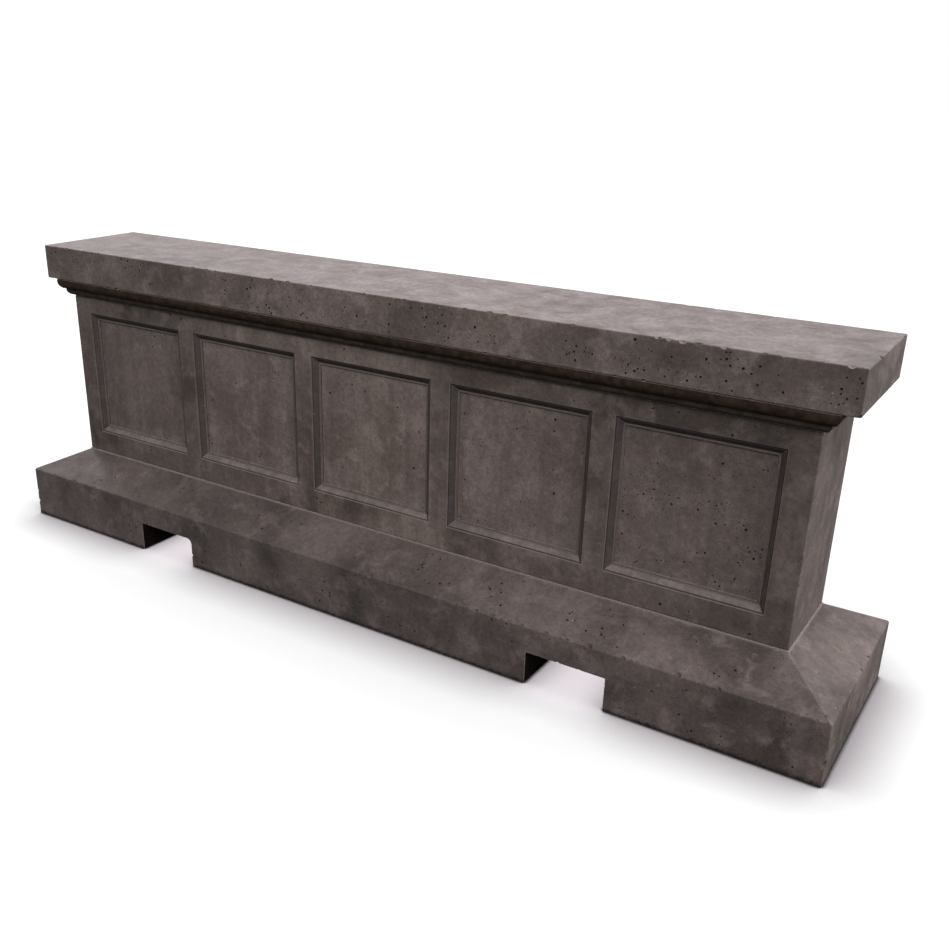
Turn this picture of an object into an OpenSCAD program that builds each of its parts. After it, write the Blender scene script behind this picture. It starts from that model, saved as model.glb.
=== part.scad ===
// Panelled concrete barrier: a plinth with two fork pockets, a wall with sunk
// panels on both long faces, a bed mould course and a plain coping.
// Millimetres, +Z up, +X along the barrier.  The origin is the middle of the
// footprint, on the ground.  The wall's two long faces look along -Y and +Y.

/* [Plinth] */
// Length of the plinth, which is the length of the barrier
barrier_l = 2440; // [1900:10:3100]
// Width of the plinth across its foot
plinth_w = 516; // [440:2:700]
// Height of the plinth's upright faces
plinth_face_h = 150; // [145:1:220]
// Rise of the weathered slope from the upright faces to the wall's seat
plinth_rise = 60; // [45:1:90]
// How far the plinth runs out past each end of the wall
plinth_end_run = 131; // [80:1:180]

/* [Fork pockets] */
// Distance between the centres of the two fork pockets
pocket_spacing = 1280; // [900:10:1500]
// Width of one fork pocket
pocket_w = 200; // [140:1:260]
// Height of one fork pocket, open at the ground
pocket_h = 84; // [60:1:92]

/* [Wall] */
// Thickness of the wall between its two panelled faces
wall_w = 268; // [240:1:340]
// Height of the wall casting
wall_h = 481; // [380:1:600]

/* [Panels] */
// Number of sunk panels on each long face
panel_count = 5; // [3:1:7]
// Width of the stile between two panels
stile_w = 54; // [40:1:90]
// Width of the stile at each end of the wall
end_stile_w = 61; // [40:1:100]
// Height of the rail below the panels
bottom_rail_h = 65; // [40:1:100]
// Height of the rail above the panels
top_rail_h = 46; // [30:1:80]
// Depth from the face of the wall to the field of a panel
panel_depth = 18; // [12:1:22]
// Width of the moulding that frames a panel
panel_mould_w = 21; // [14:1:30]

/* [Coping and bed mould] */
// Height of the bed mould under the coping
mould_h = 45; // [36:1:70]
// How far the bed mould stands out from the wall
mould_out = 33; // [20:1:50]
// Thickness of the coping
coping_h = 95; // [75:1:140]
// How far the coping stands out past the bed mould on the long sides
coping_side_lip = 3; // [0:1:20]
// How far the coping stands out past the bed mould at the ends
coping_end_lip = 35; // [0:1:60]
// Chamfer on the coping's arrises
arris = 3; // [1:0.5:6]

/* [Joints] */
// Thickness of the mortar bed between two castings
bed_t = 3; // [3:1:8]
// How far the bed at the foot of the wall stands proud of the wall
bed_proud = 2; // [0.5:0.5:6]

/* [Reinforcement] */
// Diameter of the long bars
long_bar_d = 13; // [8:1:16]
// Diameter of the hoops and cross bars
hoop_d = 10; // [6:1:12]
// Diameter of the dowels between the castings
dowel_d = 16; // [12:1:20]
// Concrete cover over the steel
cover = 30; // [25:1:40]
// Number of hoops along the wall
hoop_count = 9; // [7:2:11]

/* [Hidden] */
$fn = 32;
cut = 1;                                   // how far a cutter runs past a face

// Heights, from the ground up
seat_z = plinth_face_h + plinth_rise;
wall_z = seat_z + bed_t;
mould_z = wall_z + wall_h + bed_t;
coping_z = mould_z + mould_h + bed_t;

// Plan sizes
wall_l = barrier_l - 2 * plinth_end_run;
seat_l = wall_l + 2 * bed_proud;
seat_w = wall_w + 2 * bed_proud;
coping_l = wall_l + 2 * (mould_out + coping_end_lip);
coping_w = wall_w + 2 * (mould_out + coping_side_lip);
pocket_x = pocket_spacing / 2;

// Panels
panel_w = (wall_l - 2 * end_stile_w - (panel_count - 1) * stile_w) / panel_count;
panel_h = wall_h - bottom_rail_h - top_rail_h;
panel_z = wall_z + bottom_rail_h + panel_h / 2;
panel_pitch = panel_w + stile_w;
panel_xs = [for (i = [0 : panel_count - 1]) (i - (panel_count - 1) / 2) * panel_pitch];
quirk = 3;                                 // step down from the face into the moulding
quirk_w = 2;                               // flat beside that step
inner_step = 4;                            // step from the moulding down to the field
inner_flat = 3;                            // flat beside that step
curve_steps = 8;                           // straight pieces in a moulded curve

// Bed mould: two ovolos, each with a short upright above it
ovolo_low_h = 19;
ovolo_upright = 3;
ovolo_shelf = 1;                           // flat between the two ovolos

// Hoops stand on a regular grid; dowels stand half a pitch off it
hoop_end_gap = 49;                         // from the wall's end to the last hoop
hoop_pitch = (wall_l - 2 * hoop_end_gap) / (hoop_count - 1);
hoop_reach = (hoop_count - 1) / 2;
hoop_xs = [for (i = [-hoop_reach : hoop_reach]) i * hoop_pitch];
bend_r = 2 * hoop_d;                       // inside radius of a bend
tie_gap = 0.5;                             // wire's space between crossing bars
corner_in = hoop_d + bend_r - (bend_r - long_bar_d / 2 - tie_gap) * cos(45);

// Wall cage
wall_hoop_w = wall_w - 2 * (panel_depth + cover);
wall_hoop_h = wall_h - 2 * (cover + 5);
wall_hoop_z = wall_z + cover + 5;
wall_bar_rows = 4;
wall_bar_l = wall_l - 2 * cover;
wall_bar_y = wall_hoop_w / 2 - corner_in;
wall_bar_step = (wall_hoop_h - 2 * corner_in) / (wall_bar_rows - 1);
wheel_t = 8;
wheel_rim_t = 4;
wheel_hub_t = 4;
wheel_r = cover + hoop_d / 2 - 1;          // 1 mm short of the panel's field

// Plinth cage
plinth_hoop_in = 60;                       // from the plinth's face to the hoop
plinth_hoop_w = plinth_w - 2 * plinth_hoop_in;
plinth_hoop_z = cover + 5;
plinth_hoop_h = plinth_face_h - 5 - plinth_hoop_z;
plinth_bar_y = plinth_hoop_w / 2 - corner_in;
plinth_bar_ys = [for (k = [-1, -1/3, 1/3, 1]) k * plinth_bar_y];
plinth_bar_l = barrier_l - 2 * cover;
plinth_last_hoop_x = barrier_l / 2 - cover - hoop_d;
spacer_w = 30;
pocket_clear = pocket_w / 2 + spacer_w / 2 + 3;
plinth_hoop_xs = concat(
    [for (x = hoop_xs) if (abs(abs(x) - pocket_x) >= pocket_clear) x],
    [-plinth_last_hoop_x, plinth_last_hoop_x]);
spacer_y = plinth_hoop_w / 3;
trimmer_ys = [-120, -30, 30, 120];
trimmer_past = 150;                        // how far a trimmer runs past its pocket
trimmer_z = pocket_h + 24;

// Dowels
dowel_in_plinth = 150;
dowel_in_wall = 280;
dowel_xs = [for (k = [-3.5, -1.5, 1.5, 3.5]) k * hoop_pitch];
duct_d = 40;
duct_wall = 2;
duct_l = dowel_in_wall + 20;
pin_in_wall = 200;
pin_in_coping = 60;
pin_xs = [for (k = [-2.5, -0.5, 0.5, 2.5]) k * hoop_pitch];
pin_hole_d = 30;
pin_hole_l = bed_t + mould_h + bed_t + pin_in_coping + 5;

// Coping cage
coping_bar_d = hoop_d;
cross_bar_d = 8;
cross_bar_z = coping_z + cover + cross_bar_d / 2;
coping_bar_z = cross_bar_z + cross_bar_d / 2 + tie_gap + coping_bar_d / 2;
coping_bar_y = coping_w / 2 - 55;
coping_bar_ys = [-coping_bar_y, -45, 45, coping_bar_y];
coping_bar_l = coping_l - 2 * cover;
cross_bar_l = coping_w - 2 * cover;

// Shims that level one casting on the next
shim = [50, 40];
shim_xs = [for (k = [-3, -1, 1, 3]) k * hoop_pitch];
shim_y = wall_w / 4;

concrete = [0.36, 0.34, 0.33];
concrete_light = [0.52, 0.49, 0.49];
mortar = [0.62, 0.60, 0.58];
grout = [0.55, 0.55, 0.53];
bar_steel = [0.45, 0.28, 0.20];
galvanised = [0.62, 0.65, 0.67];
spacer_block = [0.70, 0.68, 0.63];
black_plastic = [0.12, 0.12, 0.13];
shim_plastic = [0.15, 0.30, 0.55];

// ---- shared shapes -------------------------------------------------------

// The solid that fills both an outline seen along Y and an outline seen along
// X, so that its corners are mitred.  Each outline is [half width, height].
module mitred(side, end, span) {
    intersection() {
        rotate([90, 0, 0])
            linear_extrude(span, center = true) polygon(both_sides(side));
        rotate([90, 0, 90])
            linear_extrude(span, center = true) polygon(both_sides(end));
    }
}

// An outline's right half, followed by its mirror image
function both_sides(half) = concat(half,
    [for (i = [len(half) - 1 : -1 : 0]) [-half[i][0], half[i][1]]]);

// A block that stands on z = 0 with its twelve arrises chamfered by c
module chamfered_block(l, w, h, c) {
    function octagon(a, b) = [[a - c, -b], [a, c - b], [a, b - c], [a - c, b],
        [c - a, b], [-a, b - c], [-a, c - b], [c - a, -b]];
    translate([0, 0, h / 2]) intersection() {
        linear_extrude(h, center = true) polygon(octagon(l / 2, w / 2));
        rotate([90, 0, 0])
            linear_extrude(w, center = true) polygon(octagon(l / 2, h / 2));
        rotate([90, 0, 90])
            linear_extrude(l, center = true) polygon(octagon(w / 2, h / 2));
    }
}

module bed(l, w, z) {
    translate([-l / 2, -w / 2, z]) cube([l, w, bed_t]);
}

module bar_along_x(l, d, x, y, z) {
    translate([x - l / 2, y, z]) rotate([0, 90, 0]) cylinder(h = l, d = d);
}

module bar_along_y(l, d, x, z) {
    translate([x, l / 2, z]) rotate([90, 0, 0]) cylinder(h = l, d = d);
}

module upright(l, d, x, z) {
    translate([x, 0, z]) cylinder(h = l, d = d);
}

// A closed hoop of bent bar in the plane x = 0, standing on z = 0
module hoop(w, h) {
    r = bend_r + hoop_d / 2;
    a = w / 2 - hoop_d / 2;
    for (side = [-1, 1]) {
        translate([0, side * a, hoop_d / 2 + r])
            cylinder(h = h - hoop_d - 2 * r, d = hoop_d);
        translate([0, 0, side > 0 ? h - hoop_d / 2 : hoop_d / 2])
            rotate([90, 0, 0]) cylinder(h = 2 * (a - r), d = hoop_d, center = true);
    }
    for (side = [0, 180]) rotate([0, 0, side]) {
        translate([0, a - r, hoop_d / 2 + r]) rotate([90, 90, 90]) bend(r);
        translate([0, a - r, h - hoop_d / 2 - r]) rotate([90, 0, 90]) bend(r);
    }
}

// A quarter turn of bar about Z, from +X to +Y; turned by hoop() into its plane
module bend(r) {
    rotate_extrude(angle = 90) translate([r, 0]) circle(d = hoop_d);
}

// ---- castings ------------------------------------------------------------

module plinth() {
    foot = barrier_l / 2;
    color(concrete) difference() {
        mitred([[foot, 0], [foot, plinth_face_h], [seat_l / 2, seat_z]],
            [[plinth_w / 2, 0], [plinth_w / 2, plinth_face_h], [seat_w / 2, seat_z]],
            barrier_l + cut);
        for (side = [-1, 1])
            translate([side * pocket_x - pocket_w / 2, -plinth_w / 2 - cut, -cut])
                cube([pocket_w, plinth_w + 2 * cut, pocket_h + cut]);
        plinth_long_bars();
        plinth_hoops();
        pocket_trimmers();
        plinth_spacers();
        foot_dowels();
    }
}

// Inset of a panel's frame at each depth below the face, from the outside in.
// The moulding is a cyma: level where it starts, steep halfway, level again.
function panel_frame() = concat([[0, -cut], [0, quirk]],
    [for (i = [0 : curve_steps]) let (t = i / curve_steps)
        [quirk_w + t * (panel_mould_w - quirk_w - inner_flat),
         quirk + (panel_depth - quirk - inner_step) * (1 - cos(180 * t)) / 2]],
    [[panel_mould_w, panel_depth - inner_step], [panel_mould_w, panel_depth]]);

// One panel's recess, about its own centre, cut down from z = 0
module panel_recess() {
    rows = panel_frame();
    mitred([for (p = rows) [panel_w / 2 - p[0], -p[1]]],
        [for (p = rows) [panel_h / 2 - p[0], -p[1]]],
        max(panel_w, panel_h) + cut);
}

module wall() {
    color(concrete) difference() {
        translate([-wall_l / 2, -wall_w / 2, wall_z]) cube([wall_l, wall_w, wall_h]);
        for (face = [0, 180], x = panel_xs)
            rotate([0, 0, face]) translate([x, -wall_w / 2, panel_z])
                rotate([90, 0, 0]) panel_recess();
        wall_long_bars();
        wall_hoops();
        wheel_spacers();
        for (x = dowel_xs) upright(duct_l, duct_d, x, wall_z);
        coping_dowels();
    }
}

// Projection of the bed mould at each height: two ovolos, one over the other
function ovolo(out_0, z_0, out, rise) = [for (i = [0 : curve_steps])
    let (a = 90 * i / curve_steps) [out_0 + out * sin(a), z_0 + rise * (1 - cos(a))]];

function mould_profile() = let (low_out = (mould_out - ovolo_shelf) / 2)
    concat(ovolo(0, 0, low_out, ovolo_low_h - ovolo_upright), [[low_out, ovolo_low_h]],
        ovolo(low_out + ovolo_shelf, ovolo_low_h, low_out,
            mould_h - ovolo_low_h - ovolo_upright),
        [[mould_out, mould_h]]);

module bed_mould() {
    rows = mould_profile();
    color(concrete) difference() {
        translate([0, 0, mould_z])
            mitred([for (p = rows) [wall_l / 2 + p[0], p[1]]],
                [for (p = rows) [wall_w / 2 + p[0], p[1]]], coping_l);
        for (x = pin_xs) upright(pin_hole_l, pin_hole_d, x, mould_z - bed_t);
    }
}

module coping() {
    color(concrete_light) difference() {
        translate([0, 0, coping_z]) chamfered_block(coping_l, coping_w, coping_h, arris);
        for (x = pin_xs) upright(pin_hole_l, pin_hole_d, x, mould_z - bed_t);
        coping_long_bars();
        coping_cross_bars();
        coping_spacers();
    }
}

// ---- mortar beds and their shims -----------------------------------------

module shims(z) {
    for (x = shim_xs, y = [-shim_y, shim_y])
        translate([x - shim[0] / 2, y - shim[1] / 2, z]) cube([shim[0], shim[1], bed_t]);
}

module foot_shims() { color(shim_plastic) shims(seat_z); }
module mould_shims() { color(shim_plastic) shims(mould_z - bed_t); }
module coping_shims() { color(shim_plastic) shims(coping_z - bed_t); }

module foot_bed() {
    color(mortar) difference() {
        bed(seat_l, seat_w, seat_z);
        shims(seat_z);
        foot_dowels();
    }
}

module mould_bed() {
    color(mortar) difference() {
        bed(wall_l - bed_proud, wall_w - bed_proud, mould_z - bed_t);
        shims(mould_z - bed_t);
        for (x = pin_xs) upright(pin_hole_l, pin_hole_d, x, mould_z - bed_t);
    }
}

module coping_bed() {
    out = 2 * mould_out - bed_proud;
    color(mortar) difference() {
        bed(wall_l + out, wall_w + out, coping_z - bed_t);
        shims(coping_z - bed_t);
        for (x = pin_xs) upright(pin_hole_l, pin_hole_d, x, mould_z - bed_t);
    }
}

// ---- plinth cage ---------------------------------------------------------

module plinth_long_bars() {
    top_z = plinth_hoop_z + plinth_hoop_h - corner_in;
    low_z = plinth_hoop_z + corner_in;
    pocket_near = pocket_x - pocket_w / 2 - cover;
    pocket_far = pocket_x + pocket_w / 2 + cover;
    end_l = plinth_bar_l / 2 - pocket_far;
    color(bar_steel) for (y = plinth_bar_ys) {
        bar_along_x(plinth_bar_l, long_bar_d, 0, y, top_z);
        bar_along_x(2 * pocket_near, long_bar_d, 0, y, low_z);
        for (side = [-1, 1])
            bar_along_x(end_l, long_bar_d, side * (pocket_far + end_l / 2), y, low_z);
    }
}

module plinth_hoops() {
    color(bar_steel) for (x = plinth_hoop_xs)
        translate([x, 0, plinth_hoop_z]) hoop(plinth_hoop_w, plinth_hoop_h);
}

module pocket_trimmers() {
    color(bar_steel) for (side = [-1, 1], y = trimmer_ys)
        bar_along_x(pocket_w + 2 * trimmer_past, hoop_d, side * pocket_x, y, trimmer_z);
}

// Blocks that the hoops stand on while the plinth is cast
module plinth_spacers() {
    color(spacer_block) for (x = plinth_hoop_xs, y = [-spacer_y, spacer_y])
        translate([x - spacer_w / 2, y - spacer_w / 2, 0])
            cube([spacer_w, spacer_w, plinth_hoop_z]);
}

// ---- wall cage -----------------------------------------------------------

module wall_long_bars() {
    color(bar_steel) for (side = [-1, 1], row = [0 : wall_bar_rows - 1])
        bar_along_x(wall_bar_l, long_bar_d, 0, side * wall_bar_y,
            wall_hoop_z + corner_in + row * wall_bar_step);
}

module wall_hoops() {
    color(bar_steel) for (x = hoop_xs)
        translate([x, 0, wall_hoop_z]) hoop(wall_hoop_w, wall_hoop_h);
}

// Wheels clipped on the hoops' legs, which hold the cage off the mould
module wheel_spacers() {
    color(black_plastic)
    for (i = [0 : 2 : hoop_count - 1], side = [-1, 1], level = [0.25, 0.75])
        translate([hoop_xs[i], side * (wall_hoop_w - hoop_d) / 2,
                wall_hoop_z + level * wall_hoop_h - wheel_t / 2])
            wheel();
}

module wheel() {
    hub_r = hoop_d / 2 + wheel_hub_t;
    linear_extrude(wheel_t) difference() {
        union() {
            difference() {
                circle(r = wheel_r);
                circle(r = wheel_r - wheel_rim_t);
            }
            circle(r = hub_r);
            for (turn = [0, 90]) rotate(turn)
                square([2 * wheel_r - wheel_rim_t, wheel_hub_t], center = true);
        }
        circle(d = hoop_d);
    }
}

// ---- dowels --------------------------------------------------------------

module foot_dowels() {
    color(bar_steel) for (x = dowel_xs)
        upright(dowel_in_plinth + bed_t + dowel_in_wall, dowel_d, x,
            seat_z - dowel_in_plinth);
}

// Ducts cast into the wall, which drop over the foot dowels
module dowel_ducts() {
    color(galvanised) for (x = dowel_xs) difference() {
        upright(duct_l, duct_d, x, wall_z);
        upright(duct_l + 2 * cut, duct_d - 2 * duct_wall, x, wall_z - cut);
    }
}

module duct_grout() {
    color(grout) difference() {
        for (x = dowel_xs) upright(duct_l, duct_d - 2 * duct_wall, x, wall_z);
        foot_dowels();
    }
}

module coping_dowels() {
    color(bar_steel) for (x = pin_xs)
        upright(pin_in_wall + pin_hole_l - 5, dowel_d, x, mould_z - bed_t - pin_in_wall);
}

module coping_dowel_grout() {
    color(grout) difference() {
        for (x = pin_xs) upright(pin_hole_l, pin_hole_d, x, mould_z - bed_t);
        coping_dowels();
    }
}

// ---- coping cage ---------------------------------------------------------

module coping_long_bars() {
    color(bar_steel) for (y = coping_bar_ys)
        bar_along_x(coping_bar_l, coping_bar_d, 0, y, coping_bar_z);
}

module coping_cross_bars() {
    color(bar_steel) for (x = hoop_xs)
        bar_along_y(cross_bar_l, cross_bar_d, x, cross_bar_z);
}

module coping_spacers() {
    color(spacer_block) for (x = shim_xs, y = [-coping_bar_y, coping_bar_y])
        translate([x - spacer_w / 2, y - spacer_w / 2, coping_z])
            cube([spacer_w, spacer_w, cover]);
}

// ---- output --------------------------------------------------------------

plinth();
foot_bed();
wall();
mould_bed();
bed_mould();
coping_bed();
coping();
plinth_long_bars();
plinth_hoops();
pocket_trimmers();
plinth_spacers();
wall_long_bars();
wall_hoops();
wheel_spacers();
foot_dowels();
dowel_ducts();
duct_grout();
coping_dowels();
coping_dowel_grout();
coping_long_bars();
coping_cross_bars();
coping_spacers();
foot_shims();
mould_shims();
coping_shims();
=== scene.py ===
# %% [markdown]
# # A panelled precast concrete barrier
# The object is stacked from four concrete castings: a plinth with two pockets for
# a fork lift, a wall with sunk panels, a bed mould and a coping.  Thin mortar beds
# lie between them and steel is cast inside.  The steel, its spacers and the shims
# keep the shapes that the frame gives.  The castings and the beds are modelled
# again here, because what makes concrete look real is small: worn arrises, chips
# and the pits that air leaves against the mould.

# %% Load the frame
import bpy
import math
import random
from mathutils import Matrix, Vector, noise


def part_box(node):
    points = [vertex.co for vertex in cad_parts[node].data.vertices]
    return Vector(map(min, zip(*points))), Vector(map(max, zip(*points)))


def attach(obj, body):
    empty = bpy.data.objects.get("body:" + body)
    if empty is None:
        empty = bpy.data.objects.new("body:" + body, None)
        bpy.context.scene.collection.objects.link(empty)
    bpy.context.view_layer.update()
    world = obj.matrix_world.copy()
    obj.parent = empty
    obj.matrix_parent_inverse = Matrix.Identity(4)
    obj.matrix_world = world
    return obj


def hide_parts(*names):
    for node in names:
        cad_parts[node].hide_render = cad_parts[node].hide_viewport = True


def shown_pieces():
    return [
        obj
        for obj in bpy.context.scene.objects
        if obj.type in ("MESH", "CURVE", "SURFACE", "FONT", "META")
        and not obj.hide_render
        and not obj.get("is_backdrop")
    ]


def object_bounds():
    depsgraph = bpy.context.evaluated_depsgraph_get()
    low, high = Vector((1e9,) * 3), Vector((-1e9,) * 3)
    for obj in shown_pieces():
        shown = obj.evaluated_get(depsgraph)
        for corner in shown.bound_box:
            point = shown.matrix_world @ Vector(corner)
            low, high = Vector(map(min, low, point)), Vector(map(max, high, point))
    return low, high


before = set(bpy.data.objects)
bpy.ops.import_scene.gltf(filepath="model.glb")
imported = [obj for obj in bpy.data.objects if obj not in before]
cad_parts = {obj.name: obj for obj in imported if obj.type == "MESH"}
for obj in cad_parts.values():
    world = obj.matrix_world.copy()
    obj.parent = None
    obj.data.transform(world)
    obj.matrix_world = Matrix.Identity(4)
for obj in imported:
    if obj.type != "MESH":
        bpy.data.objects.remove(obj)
cad_low, cad_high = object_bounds()
MM = 0.001
print("frame nodes:", len(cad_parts))

# %% [markdown]
# ## Sizes
# A casting's place and outer size come from its box in the frame.  The few sizes
# inside that box, such as the moulding round a panel, are named here.

# %% Sizes inside the castings
plinth_low, plinth_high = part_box("plinth")
wall_low, wall_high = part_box("wall")
mould_low, mould_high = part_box("bed_mould")
coping_low, coping_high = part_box("coping")

PLINTH_FACE_H = 150 * MM
POCKET_X = 640 * MM
POCKET_W = 200 * MM
POCKET_H = 84 * MM
WORN_POCKET_R = 16 * MM
UNDERSIDE_LIFT = 0.5 * MM                      # leaves the spacer blocks showing

PANELS = 5
STILE_W = 54 * MM
END_STILE_W = 61 * MM
BOTTOM_RAIL_H = 65 * MM
TOP_RAIL_H = 46 * MM
PANEL_DEPTH = 18 * MM
PANEL_MOULD_W = 21 * MM
QUIRK = 3 * MM
QUIRK_W = 2.6 * MM
GROOVE = 1.6 * MM
INNER_STEP = 4 * MM
FILLET_W = 3.4 * MM
CURVE_STEPS = 8

OVOLO_LOW_H = 19 * MM
OVOLO_UPRIGHT = 3 * MM
OVOLO_SHELF = 1 * MM

ARRIS = 3 * MM
FINE_ARRIS = 0.8 * MM

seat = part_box("foot_bed")[1]
panel_w = (2 * wall_high.x - 2 * END_STILE_W - (PANELS - 1) * STILE_W) / PANELS
panel_low_z = wall_low.z + BOTTOM_RAIL_H
panel_high_z = wall_high.z - TOP_RAIL_H
panel_xs = [(i - (PANELS - 1) / 2) * (panel_w + STILE_W) for i in range(PANELS)]
print("panel:", round(panel_w, 4), "by", round(panel_high_z - panel_low_z, 4))

# %% [markdown]
# ## Materials
# Every finish is made of noise on object coordinates, so a pattern has its real
# size in metres and runs across a piece without seams.  One function adds a node,
# sets its sockets and links it.

# %% Colour and node helpers
def srgb(code):
    """A hex colour as the linear values that a socket takes."""
    parts = [int(code[i:i + 2], 16) / 255 for i in (1, 3, 5)]
    linear = [p / 12.92 if p <= 0.04045 else ((p + 0.055) / 1.055) ** 2.4 for p in parts]
    return (*linear, 1.0)


def add(tree, kind, sockets=None, **settings):
    """Adds a node.  A socket is given a value, or another node's output to link."""
    made = tree.nodes.new(kind)
    for name, setting in settings.items():
        setattr(made, name, setting)
    for name, value in (sockets or {}).items():
        if isinstance(value, bpy.types.NodeSocket):
            tree.links.new(value, made.inputs[name])
        else:
            made.inputs[name].default_value = value
    return made


def new_material(name):
    """An empty material with its shader, and the coordinates that patterns read."""
    material = bpy.data.materials.new(name)
    material.use_nodes = True
    tree = material.node_tree
    shader = tree.nodes["Principled BSDF"]
    place = add(tree, "ShaderNodeTexCoord").outputs["Object"]
    return material, tree, shader, place


# %% [markdown]
# ### Charcoal precast concrete
# Integrally coloured concrete, cast against a smooth steel mould.  The pigment
# floats unevenly, so the face is cloudy: big soft clouds, hand-sized blotches in
# brown and violet greys, and runs that follow the water down an upright face.
# Faces that look up are paler: laitance and dust, and painted sheen and light from
# above.  Near the ground the face is darker: splashed dirt, and painted shade where it
# meets the floor.  The finest air holes are drawn in the colour alone, as dots of
# painted shade.

# %% Cast concrete
CLOUD = 260 * MM
BLOTCH = 55 * MM
RUN_WIDTH = 34 * MM
RUN_LENGTH = 420 * MM
GRAIN = 2.8 * MM                                # sand, coarser than real so that it shows
MOTTLE = 11 * MM
PALE_REACH = 1000 * MM
FOOT_DARKENING = 30 * MM
PINHOLE_CELL = 10 * MM


def cast_concrete(name, tones, runs, rough, seed, pale_x=0.0, pale=0.0,
                  dust_sheen_from=0.92, dust_sheen_full=1.0):
    """Dark, middle, light and dust tones, the strength of runs, and where it is paler.

    The dust tone, which also stands in as painted sheen and light from above, starts
    where a face's normal rises above dust_sheen_from, and is full at dust_sheen_full.
    """
    dark, mid, light, dust_sheen_tone = tones
    material, tree, shader, place = new_material(name)
    shifted = add(tree, "ShaderNodeMapping", {
        "Vector": place, "Location": (seed, 2 * seed, 3 * seed)}).outputs[0]
    clouds = add(tree, "ShaderNodeTexNoise", {
        "Vector": shifted, "Scale": 1 / CLOUD, "Detail": 4, "Roughness": 0.62,
        "Distortion": 0.6})
    blotches = add(tree, "ShaderNodeTexNoise", {
        "Vector": shifted, "Scale": 1 / BLOTCH, "Detail": 5, "Roughness": 0.6,
        "Distortion": 0.4})
    falling = add(tree, "ShaderNodeMapping", {
        "Vector": shifted, "Scale": (1 / RUN_WIDTH, 1 / RUN_WIDTH, 1 / RUN_LENGTH)})
    run = add(tree, "ShaderNodeTexNoise", {
        "Vector": falling.outputs[0], "Scale": 1.0, "Detail": 3, "Roughness": 0.55})
    grain = add(tree, "ShaderNodeTexNoise", {
        "Vector": shifted, "Scale": 1 / GRAIN, "Detail": 2, "Roughness": 0.7})

    cloud_share = add(tree, "ShaderNodeMapRange", {
        "Value": clouds.outputs[0], "From Min": 0.36, "From Max": 0.66})
    tone = add(tree, "ShaderNodeMix", {
        0: cloud_share.outputs[0], 6: srgb(dark), 7: srgb(mid)}, data_type="RGBA")
    blotch_share = add(tree, "ShaderNodeMapRange", {
        "Value": blotches.outputs[0], "From Min": 0.50, "From Max": 0.78,
        "To Max": 0.85})
    tone = add(tree, "ShaderNodeMix", {
        0: blotch_share.outputs[0], 6: tone.outputs[2], 7: srgb(light)},
        data_type="RGBA")
    run_share = add(tree, "ShaderNodeMapRange", {
        "Value": run.outputs[0], "From Min": 0.35, "From Max": 0.72,
        "To Min": 1 - runs, "To Max": 1 + runs})
    tone = add(tree, "ShaderNodeMix", {
        0: 1.0, 6: tone.outputs[2], 7: run_share.outputs[0]},
        data_type="RGBA", blend_type="MULTIPLY", clamp_result=False)
    grain_share = add(tree, "ShaderNodeMapRange", {
        "Value": grain.outputs[0], "From Min": 0.3, "From Max": 0.7,
        "To Min": 0.75, "To Max": 1.25})
    tone = add(tree, "ShaderNodeMix", {
        0: 1.0, 6: tone.outputs[2], 7: grain_share.outputs[0]},
        data_type="RGBA", blend_type="MULTIPLY", clamp_result=False)

    # Faces that look up are paler: dust, and painted sheen and light from above.
    facing = add(tree, "ShaderNodeSeparateXYZ", {
        0: add(tree, "ShaderNodeNewGeometry").outputs["True Normal"]})
    upward = add(tree, "ShaderNodeMapRange", {
        "Value": facing.outputs["Z"], "From Min": dust_sheen_from,
        "From Max": dust_sheen_full, "To Max": 0.8})
    smear = add(tree, "ShaderNodeMapRange", {
        "Value": blotches.outputs[0], "From Min": 0.3, "From Max": 0.7,
        "To Min": 0.35, "To Max": 1.0})
    dust_and_sheen = add(tree, "ShaderNodeMath", {
        0: upward.outputs[0], 1: smear.outputs[0]}, operation="MULTIPLY")
    tone = add(tree, "ShaderNodeMix", {
        0: dust_and_sheen.outputs[0], 6: tone.outputs[2], 7: srgb(dust_sheen_tone)}, data_type="RGBA")

    middle = add(tree, "ShaderNodeTexGradient", {"Vector": add(tree, "ShaderNodeMapping", {
        "Vector": place, "Location": (-pale_x / PALE_REACH, 0, 0),
        "Scale": (1 / PALE_REACH, 0, 0)}).outputs[0]},
        gradient_type="SPHERICAL")
    middle_share = add(tree, "ShaderNodeMapRange", {
        "Value": middle.outputs[0], "To Min": 1.0, "To Max": 1 + pale})
    tone = add(tree, "ShaderNodeMix", {
        0: 1.0, 6: tone.outputs[2], 7: middle_share.outputs[0]},
        data_type="RGBA", blend_type="MULTIPLY", clamp_result=False)
    mottle = add(tree, "ShaderNodeTexNoise", {
        "Vector": shifted, "Scale": 1 / MOTTLE, "Detail": 3, "Roughness": 0.6})
    mottle_share = add(tree, "ShaderNodeMapRange", {
        "Value": mottle.outputs[0], "From Min": 0.3, "From Max": 0.7,
        "To Min": 0.80, "To Max": 1.20})
    tone = add(tree, "ShaderNodeMix", {
        0: 1.0, 6: tone.outputs[2], 7: mottle_share.outputs[0]},
        data_type="RGBA", blend_type="MULTIPLY", clamp_result=False)

    # Darker near the ground: splashed dirt, and painted shade along the foot.
    axes = add(tree, "ShaderNodeSeparateXYZ", {0: place})
    foot = add(tree, "ShaderNodeMath", {
        0: mottle.outputs[0], 1: -FOOT_DARKENING, 2: axes.outputs["Z"]}, operation="MULTIPLY_ADD")
    foot_dirt_and_shade = add(tree, "ShaderNodeMapRange", {
        "Value": foot.outputs[0], "From Min": -0.45 * FOOT_DARKENING, "From Max": -0.1 * FOOT_DARKENING,
        "To Min": 0.10, "To Max": 1.0})
    tone = add(tree, "ShaderNodeMix", {
        0: 1.0, 6: tone.outputs[2], 7: foot_dirt_and_shade.outputs[0]},
        data_type="RGBA", blend_type="MULTIPLY", clamp_result=False)

    # Air holes too fine to model: dark dots of painted shade, with a few pale specks.
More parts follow.
